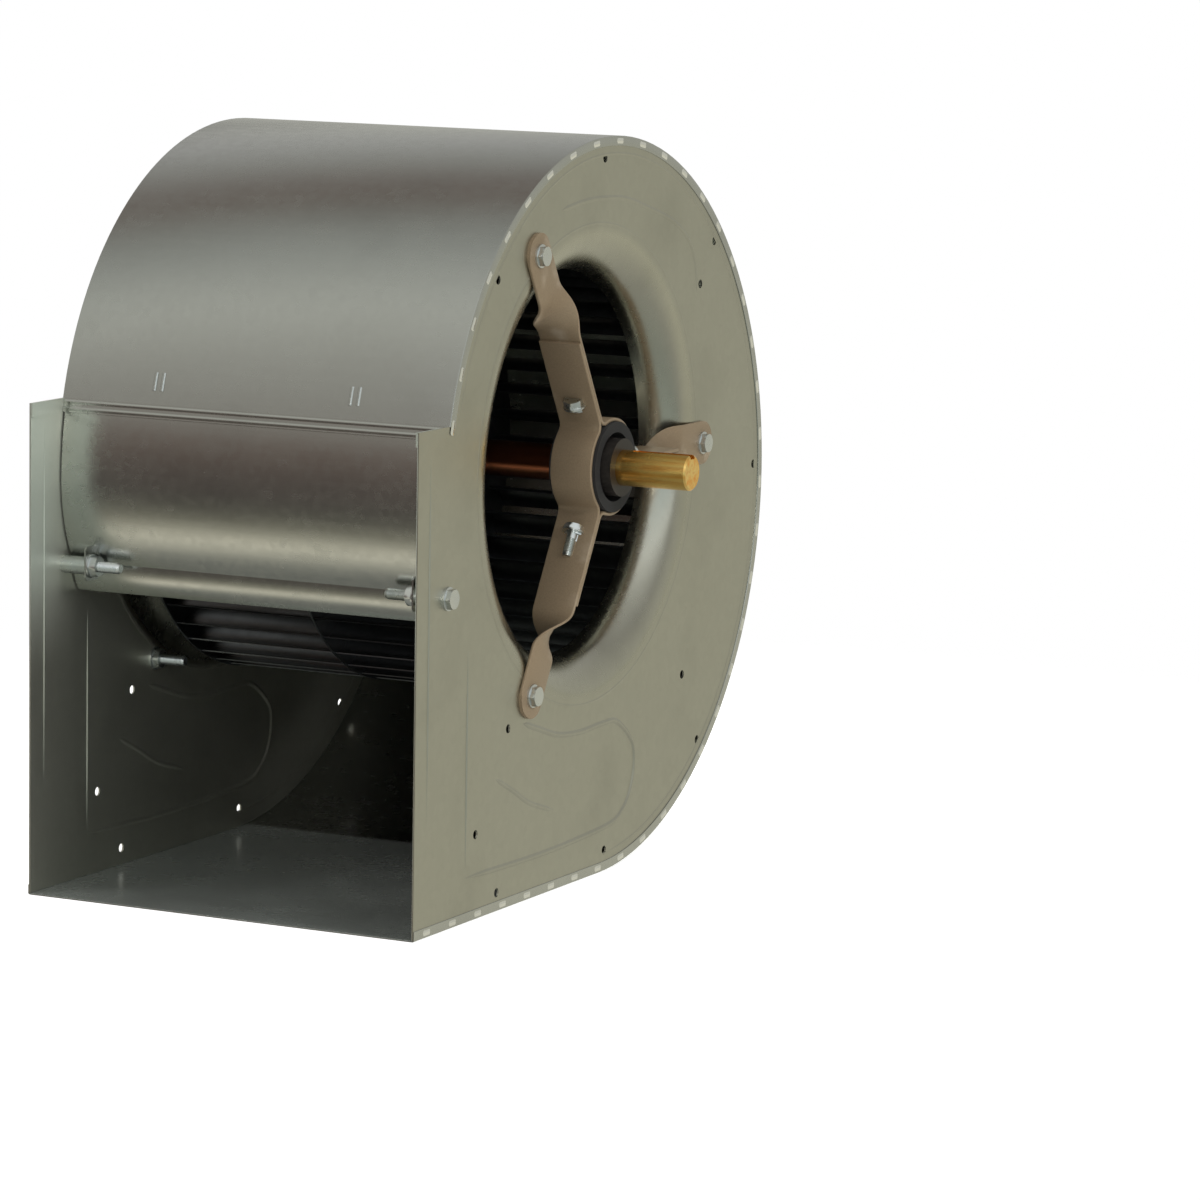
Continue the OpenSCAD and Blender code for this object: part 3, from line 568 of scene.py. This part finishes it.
def grown(name, group, values):
    """What a node group makes of the values, as one plain mesh object."""
    holder = new_object(name, [], [])
    change = holder.modifiers.new("grown", "NODES")
    change.node_group = group
    for item in group.interface.items_tree:
        if item.in_out == "INPUT":
            change[item.identifier] = values[item.name]
    holder.update_tag()
    bpy.context.view_layer.update()
    seen_mesh = bpy.data.meshes.new_from_object(
        holder.evaluated_get(bpy.context.evaluated_depsgraph_get()))
    holder.modifiers.clear()
    holder.data = seen_mesh
    return holder


STITCH_STEP, STITCH_START = 36 * MM, 18 * MM
# Painted highlight: the lance marks are pressed from the same sheet as the wrapper but painted near-white
# zinc, so they show as bright marks where they catch the light.
stitch_zinc_painted_highlight = galvanised("stitch_zinc_painted_highlight", (0.98, 0.98, 0.95), (0.86, 0.86, 0.83), 0.16)
for side, out in (("right", 1), ("left", -1)):
    run = scroll_path(3.6 * MM)
    run[0] = (outlet_y + STITCH_START, run[0][1])
    line = new_object("hem_line", [(out * edge, y, z) for y, z in run], [])
    line.data.edges.add(len(run) - 1)
    line.data.edges.foreach_set("vertices", [k for i in range(len(run) - 1) for k in (i, i + 1)])
    rims = [(-0.1, 5.2, 2.4), (0.35, 3.8, 0.3)]
    verts = [(out * h * MM, a * MM, b * MM) for h, la, lb in rims
             for a, b in ((la, lb * 0.5), (la * 0.8, lb), (-la * 0.8, lb), (-la, lb * 0.5),
                          (-la, -lb * 0.5), (-la * 0.8, -lb), (la * 0.8, -lb), (la, -lb * 0.5))]
    faces = [(k, (k + 1) % 8, (k + 1) % 8 + 8, k + 8) for k in range(8)]
    faces += [tuple(reversed(range(8))), tuple(range(8, 16))]
    mark = recalculated(new_object("hem_mark", verts, faces))
    made = grown("hem_stitches_" + side, stitch_tree(stitch_zinc_painted_highlight),
                 {"Line": line, "Mark": mark, "Spacing": STITCH_STEP})
    bpy.data.objects.remove(line)
    bpy.data.objects.remove(mark)
    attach(made, "housing")

# ---- Cut-off plate ----
# A galvanised sheet that closes the scroll between its end and the wheel. It nests in the
# wrapper's end, curls back, and its edge is rolled into a lip below a fold. Two tabs take bolts.
CUT_R, CUT_Y = 120 * MM, -95.925 * MM
CUT_DROP = 59 * MM
CUT_END = 180 + math.degrees(math.asin(CUT_DROP / CUT_R))
LIP_R, LIP_DROP = 34 * MM, 21 * MM
NEST_GAP = 0.075 * MM
inner_r = FRONT_R - SHEET - NEST_GAP
plate_path = arc((SCROLL_Y, FRONT_Z), inner_r, end_angle, 180, 2)
plate_path += arc((CUT_Y, FRONT_Z), CUT_R, 180, CUT_END, 1.5)[1:]
fold_y, fold_z = plate_path[-1]
lip_end = 180 + math.degrees(math.asin(LIP_DROP / LIP_R))
plate_path += arc((fold_y + LIP_R, fold_z), LIP_R, 180, lip_end, 3)[1:]
plate_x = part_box("cutoff_plate")[1].x
plate_profile = [(plate_x, 0), (plate_x, SHEET), (-plate_x, SHEET), (-plate_x, 0)]
plate = recalculated(sweep(plate_path, plate_profile, "cutoff_sheet", wrapper_zinc))
crisp(plate, 25)
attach(plate, "housing")
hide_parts("cutoff_plate")
CUT_BOLT_R = 4 * MM
bolt_clear = CUT_R + 2.1 * CUT_BOLT_R + 0.3 * MM
cut_bolt_z = fold_z - 1 * MM
cut_bolt_y = CUT_Y - math.sqrt(bolt_clear ** 2 - (FRONT_Z - cut_bolt_z) ** 2)
TAB_X, TAB_T = 128.6 * MM, 1.2 * MM
TAB_BELOW, TAB_ABOVE = 10 * MM, 14 * MM
for side, out in (("right", 1), ("left", -1)):
    front, rear = cut_bolt_y - 2 * CUT_BOLT_R, fold_y - 1 * MM
    low, high = cut_bolt_z - TAB_BELOW, cut_bolt_z + TAB_ABOVE
    tab = [(front + 2 * MM, low), (rear, low), (rear, fold_z + 2.6 * MM), (rear - 4.6 * MM, high),
           (front + 2 * MM, high), (front, high - 2 * MM), (front, low + 2 * MM)]
    size = len(tab)
    verts = [(out * x, y, z) for x in (TAB_X, TAB_X + TAB_T) for y, z in tab]
    faces = [(k, (k + 1) % size, (k + 1) % size + size, k + size) for k in range(size)]
    faces += [tuple(reversed(range(size))), tuple(range(size, 2 * size))]
    ear = crisp(recalculated(new_object("cutoff_tab_" + side, verts, faces, wrapper_zinc)))
    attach(ear, "housing")


# ---- Bearing straps ----
# Three flat steel bars on each side, bent round the rubber ring and clamped in pairs, with
# one end of each twisted flat to the panel. They are stoved in a taupe enamel.
STRAP_W, STRAP_T = 32 * MM, 2.5 * MM
HUB_R, BEND_R, FOOT_R = 32 * MM, 6 * MM, 176 * MM
TWIST_START, TWIST_END = 110 * MM, 145 * MM
ARM_END, STRAIGHT_FROM, CLAMP_R = 106 * MM, 70 * MM, 53 * MM
support_x = panel_x + STRAP_T / 2


def strap_stations():
    """Places along a strap: its middle line, its sideways turn and its share of full width."""
    bend_v = STRAP_T + BEND_R
    bend_u = math.sqrt((HUB_R + STRAP_T + BEND_R) ** 2 - bend_v ** 2)
    lean = math.degrees(math.atan2(bend_v, bend_u))
    mid_bend, mid_hub = BEND_R + STRAP_T / 2, HUB_R + STRAP_T / 2
    line = [(ARM_END, STRAP_T / 2), (STRAIGHT_FROM, STRAP_T / 2)]
    line += arc((bend_u, bend_v), mid_bend, 270, 180 + lean, 9)
    line += arc((0, 0), mid_hub, lean, 120 - lean, 6)[1:]
    c, s = math.cos(math.radians(120)), math.sin(math.radians(120))
    second = arc((bend_u, -bend_v), mid_bend, 180 - lean, 90, 9)[1:]
    steps = 18
    reaches = [STRAIGHT_FROM, 90 * MM, TWIST_START]
    reaches += [TWIST_START + (TWIST_END - TWIST_START) * (i + 1) / steps for i in range(steps)]
    reaches += [160 * MM, FOOT_R]
    reaches += [FOOT_R + STRAP_W / 2 * math.sin(math.radians(a)) for a in range(10, 90, 10)]
    second += [(reach, -STRAP_T / 2) for reach in reaches]
    line += [(u * c - v * s, u * s + v * c) for u, v in second]
    stations = []
    for here in line:
        reach = Vector(here).length
        twisted = min(max((reach - TWIST_START) / (TWIST_END - TWIST_START), 0), 1)
        twisted = twisted * twisted * (3 - 2 * twisted)
        past = max(0.0, reach - FOOT_R) / (STRAP_W / 2)
        stations.append((here, 90 * twisted, math.sqrt(max(0.0, 1 - past * past))))
    return stations


def rounded_bar(width, thickness, radius):
    """Outline of a bar with rounded edges, as (across, through)."""
    outline = []
    for sx, sy, start in ((1, 1, 0), (-1, 1, 90), (-1, -1, 180), (1, -1, 270)):
        for a in range(0, 91, 30):
            t = math.radians(start + a)
            outline.append((sx * (width / 2 - radius) + radius * math.cos(t),
                            sy * (thickness / 2 - radius) + radius * math.sin(t)))
    return outline


def strap(name, degrees, out, finish):
    """A bar carried along its stations, twisted and rounded off at its foot."""
    bar = rounded_bar(STRAP_W, STRAP_T, 0.8 * MM)
    places = strap_stations()
    a = math.radians(degrees)
    verts, faces = [], []
    for i, (here, twist, share) in enumerate(places):
        before, after = places[max(i - 1, 0)][0], places[min(i + 1, len(places) - 1)][0]
        along = Vector((after[0] - before[0], after[1] - before[1])).normalized()
        sideways = Vector((0, -along.y, along.x))
        t = math.radians(twist)
        width_way = Vector((math.cos(t), 0, 0)) - sideways * math.sin(t)
        through = Vector((math.sin(t), 0, 0)) + sideways * math.cos(t)
        for w, h in bar:
            w = w if abs(share - 1) < 1e-6 else math.copysign(min(abs(w), STRAP_W / 2 * share), w)
            p = Vector((0, here[0], here[1])) + width_way * w + through * h
            y, z = p.y * math.cos(a) - p.z * math.sin(a), p.y * math.sin(a) + p.z * math.cos(a)
            verts.append((out * (support_x + p.x), y, axis_z + z))
    size = len(bar)
    for i in range(len(places) - 1):
        for k in range(size):
            n = (k + 1) % size
            faces.append((i * size + k, i * size + n, (i + 1) * size + n, (i + 1) * size + k))
    faces.append(tuple(reversed(range(size))))
    faces.append(tuple(range(len(verts) - size, len(verts))))
    return crisp(recalculated(new_object(name, verts, faces, finish)), 50)


enamel, tree, shader, place = material("taupe_enamel")
cloud = tree.noise(place, 30.0, 4.0)
speck = tree.noise(place, 900.0, 2.0)
thin = cloud.between(0.55, 0.75)
feed(tree, shader,
     Base_Color=tree.mix(thin, tree.mix(speck, (0.20, 0.145, 0.090), (0.285, 0.215, 0.140)),
                         (0.38, 0.31, 0.23)),
     Metallic=0.45, Roughness=0.34 + cloud * 0.16,
     Normal=bump(tree, speck * 0.6 + tree.noise(place, 260.0) * 0.6, 0.00015, 0.6))
for side, out in (("right", 1), ("left", -1)):
    for title, degrees in (("front", 120), ("lower", 240), ("upper", 0)):
        bar = strap("strap_%s_bar_%s" % (title, side), degrees, out, enamel)
        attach(bar, "housing")
        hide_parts("strap_%s_%s" % (title, side))


# ---- Bolts and nuts ----
# Bright zinc plated M8 hexagon bolts and nuts with flanges, at the strap feet and clamps and
# with a spacer tube at each end of the cut-off plate.
def turned(profile, segments, verts, faces):
    """A closed turned shape about z from (radius, height) points; the first and last lie on the axis."""
    base = len(verts)
    for r, z in profile:
        for k in range(segments):
            a = 2 * math.pi * k / segments
            verts.append((r * math.cos(a), r * math.sin(a), z))
    for i in range(len(profile) - 1):
        for k in range(segments):
            n = (k + 1) % segments
            faces.append((base + i * segments + k, base + i * segments + n,
                          base + (i + 1) * segments + n, base + (i + 1) * segments + k))


def hexagon_body(radius, low, high, chamfer, verts, faces):
    """A hexagon with its corners turned off at the given end or ends."""
    base, rows = len(verts), []
    bottom, top = chamfer
    levels = [(low, bottom), (low + 0.18 * radius, 0) if bottom else None,
              (high - 0.18 * radius, 0) if top else None, (high, top)]
    for level in levels:
        if level is None:
            continue
        rows.append(len(verts))
        for k in range(24):
            a = 2 * math.pi * k / 24
            hexed = radius * math.cos(math.pi / 6) / math.cos((a + math.pi / 6) % (math.pi / 3) - math.pi / 6)
            r = min(hexed, radius * 0.90) if level[1] else hexed
            verts.append((r * math.cos(a), r * math.sin(a), level[0]))
    for a, b in zip(rows, rows[1:]):
        for k in range(24):
            n = (k + 1) % 24
            faces.append((a + k, a + n, b + n, b + k))
    faces.append(tuple(rows[0] + k for k in reversed(range(24))))
    faces.append(tuple(rows[-1] + k for k in range(24)))


def threaded(radius, length, plain, pitch, verts, faces):
    """A shank with a thread that winds round it, closed by a chamfered tip."""
    profile = [(0, -0.3 * MM), (radius, -0.3 * MM), (radius, plain)]
    z = plain
    while z + pitch < length - radius * 0.25:
        profile += [(radius * 0.86, z + pitch * 0.4), (radius * 0.99, z + pitch * 0.9)]
        z += pitch
    profile += [(radius * 0.75, length), (0, length)]
    turned(profile, 20, verts, faces)


def bolt_parts(radius, length, plain):
    """A flanged hexagon bolt pointing along +z, its flange seated at z = 0."""
    verts, faces = [], []
    hexagon_body(1.9 * radius, -1.3 * radius, -0.28 * radius, (1, 0), verts, faces)
    turned([(0, 0), (2.08 * radius, 0), (2.05 * radius, -0.3 * radius),
            (1.7 * radius, -0.42 * radius), (0, -0.42 * radius)], 28, verts, faces)
    threaded(radius, length, plain, 0.3 * radius, verts, faces)
    return verts, faces


def nut_parts(radius):
    """A flanged hexagon nut seated at z = 0 and standing along +z."""
    verts, faces = [], []
    hexagon_body(1.9 * radius, 0.28 * radius, 1.6 * radius, (0, 1), verts, faces)
    turned([(0, 0.02 * radius), (2.08 * radius, 0.02 * radius), (2.05 * radius, 0.3 * radius),
            (1.7 * radius, 0.42 * radius), (0, 0.42 * radius)], 28, verts, faces)
    return verts, faces


def placed(parts, matrix, name):
    """A plain mesh object, made out of sight of the render, for copies to be taken from."""
    verts, faces = parts
    made = new_object(name, [matrix @ Vector(v) for v in verts], faces)
    recalculated(made)
    return crisp(made, 40)


def copies_tree(finish):
    """Copies of a piece turned about the shaft at even angles."""
    group = bpy.data.node_groups.new("copies_about_shaft", "GeometryNodeTree")
    face = group.interface
    face.new_socket("Geometry", in_out="OUTPUT", socket_type="NodeSocketGeometry")
    for title, kind in (("Piece", "Object"), ("Count", "Int"), ("Start", "Float"), ("Height", "Float")):
        face.new_socket(title, in_out="INPUT", socket_type="NodeSocket" + kind)
    nodes = Tree(group)
    given = nodes.add("NodeGroupInput")
    spot = nodes.add("ShaderNodeCombineXYZ", {}, {"Z": given["Height"]})
    points = nodes.add("GeometryNodePoints", {}, {"Count": given["Count"], "Position": spot})
    step = nodes.add("ShaderNodeMath", {"operation": "DIVIDE"}, {0: 2 * math.pi, 1: given["Count"]})
    turned_by = nodes.add("GeometryNodeInputIndex") * step + given["Start"]
    angle = nodes.add("ShaderNodeCombineXYZ", {}, {"X": turned_by})
    shape = nodes.add("GeometryNodeObjectInfo", {}, {"Object": given["Piece"]}, "Geometry")
    spread = nodes.add("GeometryNodeInstanceOnPoints", {},
                       {"Points": points, "Instance": shape, "Rotation": angle})
    real = nodes.add("GeometryNodeRealizeInstances", {}, {0: spread})
    done = nodes.add("GeometryNodeSetMaterial", {}, {"Geometry": real, "Material": finish})
    nodes.add("NodeGroupOutput", {}, {0: done})
    return group


def copied(name, piece, finish, count, start_degrees=0.0):
    """Copies about the shaft as one plain mesh. The piece that they were taken from is removed."""
    made = grown(name, copies_tree(finish), {"Piece": piece, "Count": count, "Height": axis_z,
                                             "Start": math.radians(start_degrees)})
    bpy.data.objects.remove(piece)
    return made


plated, tree, shader, place = material("bright_zinc")
mottle = tree.noise(place, 320.0, 3.0)
film = tree.noise(place, 60.0, 2.0)
feed(tree, shader, Base_Color=tree.mix(film, (0.60, 0.64, 0.66), (0.78, 0.78, 0.74)), Metallic=1.0,
     Roughness=0.20 + mottle * 0.20, Normal=bump(tree, mottle, 0.00008, 0.5))

BOLT_R = 4 * MM
along_shaft = {1: Matrix.Rotation(math.radians(90), 4, "Y"), -1: Matrix.Rotation(math.radians(-90), 4, "Y")}
for side, out in (("right", 1), ("left", -1)):
    into = along_shaft[-out]
    foot = Matrix.Translation((out * (panel_x + STRAP_T), FOOT_R, -STRAP_T / 2))
    nut_seat = Matrix.Translation((out * (panel_x - PANEL_T), FOOT_R, -STRAP_T / 2))
    sideways = Matrix.Rotation(math.radians(-90), 4, "X")
    clamp = Matrix.Translation((out * support_x, CLAMP_R, -STRAP_T)) @ sideways
    clamp_nut = Matrix.Translation((out * support_x, CLAMP_R, STRAP_T)) @ sideways
    for title, parts, matrix in (
            ("foot_bolts", bolt_parts(BOLT_R, 29 * MM, 5 * MM), foot @ into),
            ("foot_nuts", nut_parts(BOLT_R), nut_seat @ into),
            ("clamp_bolts", bolt_parts(BOLT_R, 18 * MM, 5.2 * MM), clamp),
            ("clamp_nuts", nut_parts(BOLT_R), clamp_nut)):
        made = copied("%s_set_%s" % (title, side), placed(parts, matrix, "pattern"), plated, 3)
        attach(made, "housing")
        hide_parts("%s_%s" % (title, side))
spacer_verts, spacer_faces = [], []
TUBE_IN, TUBE_OUT, TUBE_LEN = 4.3 * MM, 6.2 * MM, 21 * MM
turned([(TUBE_IN, 0), (TUBE_OUT, 0), (TUBE_OUT, TUBE_LEN), (TUBE_IN, TUBE_LEN), (TUBE_IN, 0)], 28,
       spacer_verts, spacer_faces)
for title, parts, level in (
        ("cutoff_bolts", bolt_parts(CUT_BOLT_R, 47 * MM, 20 * MM), panel_x),
        ("cutoff_spacers", (spacer_verts, spacer_faces), panel_x - PANEL_T),
        ("cutoff_nuts", nut_parts(CUT_BOLT_R), TAB_X)):
    verts, faces = parts
    pair_verts, pair_faces = [], []
    for out in (1, -1):
        matrix = Matrix.Translation((out * level, cut_bolt_y, cut_bolt_z)) @ along_shaft[-out]
        pair_faces += [tuple(i + len(pair_verts) for i in f) for f in faces]
        pair_verts += [matrix @ Vector(v) for v in verts]
    made = crisp(recalculated(new_object(title + "_pair", pair_verts, pair_faces, plated)), 40)
    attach(made, "housing")
    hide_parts(title)

# ---- Wheel ----
# Forward curved blades rolled from thin galvanised sheet, tabbed into a centre disc and an
# end ring on each side. The disc is riveted to a turned hub on the shaft.
wheel_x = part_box("end_ring_right")[1].x
BLADE_R, BLADE_T, DISC_T, WHEEL_R = 16 * MM, 0.8 * MM, 1.6 * MM, 165 * MM
BLADE_COUNT, TIP_ANGLE, BLADE_ARC = 48, 25, 105
tip = WHEEL_R - 0.8 * MM
outer = BLADE_R + BLADE_T
tip_turn = math.radians(TIP_ANGLE)
blade_centre = math.sqrt(tip ** 2 - (outer * math.sin(tip_turn)) ** 2) - outer * math.cos(tip_turn)
# Painted shade: the blades, disc and end rings are galvanised sheet like the housing, but painted a dark
# blue-grey that stands for the shadow inside the housing.
wheel_zinc_painted_shade = galvanised("wheel_steel", (0.20, 0.205, 0.21), (0.08, 0.085, 0.095), 0.36)


def blade_parts(out):
    """A blade curled about a line along the shaft, from the centre disc to the end ring."""
    verts, faces, steps = [], [], 10
    for i in range(steps + 1):
        a = TIP_ANGLE + BLADE_ARC * i / steps
        for r in (BLADE_R, outer):
            y, z = turn_point((blade_centre, 0), r, a)
            verts += [(out * DISC_T / 2, y, z), (out * (wheel_x - DISC_T), y, z)]
    for i in range(steps):
        b = 4 * i
        faces += [(b, b + 1, b + 5, b + 4), (b + 2, b + 6, b + 7, b + 3), (b, b + 4, b + 6, b + 2),
                  (b + 1, b + 3, b + 7, b + 5)]
    faces += [(0, 2, 3, 1), (4 * steps, 4 * steps + 1, 4 * steps + 3, 4 * steps + 2)]
    return verts, faces


for side, out in (("right", 1), ("left", -1)):
    pattern = placed(blade_parts(out), Matrix.Identity(4), "pattern")
    made = copied("blade_cage_" + side, pattern, wheel_zinc_painted_shade, BLADE_COUNT)
    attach(made, "rotor")
    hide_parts("blades_" + side)
for node in ("centre_disc", "end_ring_right", "end_ring_left"):
    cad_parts[node].data.materials.clear()
    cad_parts[node].data.materials.append(wheel_zinc_painted_shade)

# ---- Shaft ----
# A ground steel bar with a keyway in its drive end. An amber rust-proofing film covers it, in
# runs along its length that are partly the film's own and partly painted reflection bands, and it
# is painted duller and browner between the bearings as painted shade inside the housing.
amber, tree, shader, place = material("amber_film_steel")
along = tree.add("ShaderNodeSeparateXYZ", {}, {0: place}, "X")
# Dark red and bright yellow runs along the length: partly the amber film's own unevenness, partly painted
# reflection bands.
film_runs_and_painted_reflections = tree.noise(tree.stretched(place, 0.05, 1, 1), 150.0, 2.0, 0.5)
turning = tree.noise(tree.stretched(place, 1.0, 0.02, 0.02), 2600.0, 2.0)
smear = tree.noise(place, 28.0, 3.0)
colour = tree.add("ShaderNodeValToRGB", {"stops": [
    (0.30, (0.60, 0.17, 0.03)), (0.43, (0.95, 0.44, 0.08)), (0.58, (1.0, 0.70, 0.24)),
    (0.72, (0.80, 0.32, 0.06))]}, {0: film_runs_and_painted_reflections * 0.6 + smear * 0.4})
# Painted shade: inboard of the drive side panel the shaft is painted a darker brown, standing for the shadow
# inside the housing.
inner = (along * -1.0).between(-0.150, -0.135)
feed(tree, shader, Base_Color=tree.mix(inner, colour, (0.40, 0.14, 0.07)), Metallic=1.0,
     Roughness=0.17 + turning * 0.05 + smear * 0.10, Normal=bump(tree, turning, 0.00001, 0.4))
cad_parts["drive_shaft"].data.materials.clear()
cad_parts["drive_shaft"].data.materials.append(amber)


# ---- Bearings, rubber rings and collars ----
# A sealed ball bearing on each side sits in a black rubber ring inside the straps. An oiled
# black collar with a set screw locks its inner ring to the shaft.
def coat(finish, *nodes):
    """Gives the named nodes of the frame a finish in place of their own."""
    for node in nodes:
        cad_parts[node].data.materials.clear()
        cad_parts[node].data.materials.append(finish)


def simple_finish(name, first, second, scale, metallic, rough, spread, rise):
    """Two mottled shades with a fine grain. Rough is the least roughness and spread its range."""
    made, tree, shader, place = material(name)
    patch = tree.noise(place, scale, 4.0)
    fine = tree.noise(place, scale * 9, 2.0)
    feed(tree, shader, Base_Color=tree.mix(patch, first, second), Metallic=metallic,
         Specular_IOR_Level=0.25, Roughness=rough + patch * spread,
         Normal=bump(tree, patch * 0.4 + fine * 0.6, rise, 0.6))
    return made


both = ("_right", "_left")
rubber = simple_finish("isolator_rubber", (0.010, 0.010, 0.011), (0.026, 0.025, 0.024), 150.0, 0.0,
                       0.55, 0.25, 0.0002)
coat(rubber, *("isolator" + s for s in both), *("bearing_seals" + s for s in both))
race = simple_finish("ground_race", (0.52, 0.53, 0.55), (0.66, 0.66, 0.66), 200.0, 1.0, 0.16, 0.14, 0.00003)
coat(race, *(p + s for p in ("bearing_outer_ring", "bearing_inner_ring", "bearing_balls") for s in both))
cage = simple_finish("pressed_brass", (0.62, 0.42, 0.14), (0.78, 0.58, 0.24), 180.0, 1.0, 0.26, 0.2, 0.00005)
coat(cage, *("bearing_cage" + s for s in both))
oxide = simple_finish("oiled_black_oxide", (0.022, 0.020, 0.019), (0.060, 0.052, 0.046), 220.0, 0.7,
                      0.28, 0.25, 0.00006)
coat(oxide, *("locking_collar" + s for s in both), "collar_set_screws", "hub_set_screws")
iron = simple_finish("turned_hub", (0.24, 0.24, 0.23), (0.38, 0.38, 0.36), 130.0, 1.0, 0.34, 0.2, 0.0001)
coat(iron, "wheel_hub")
coat(plated, "hub_rivets")
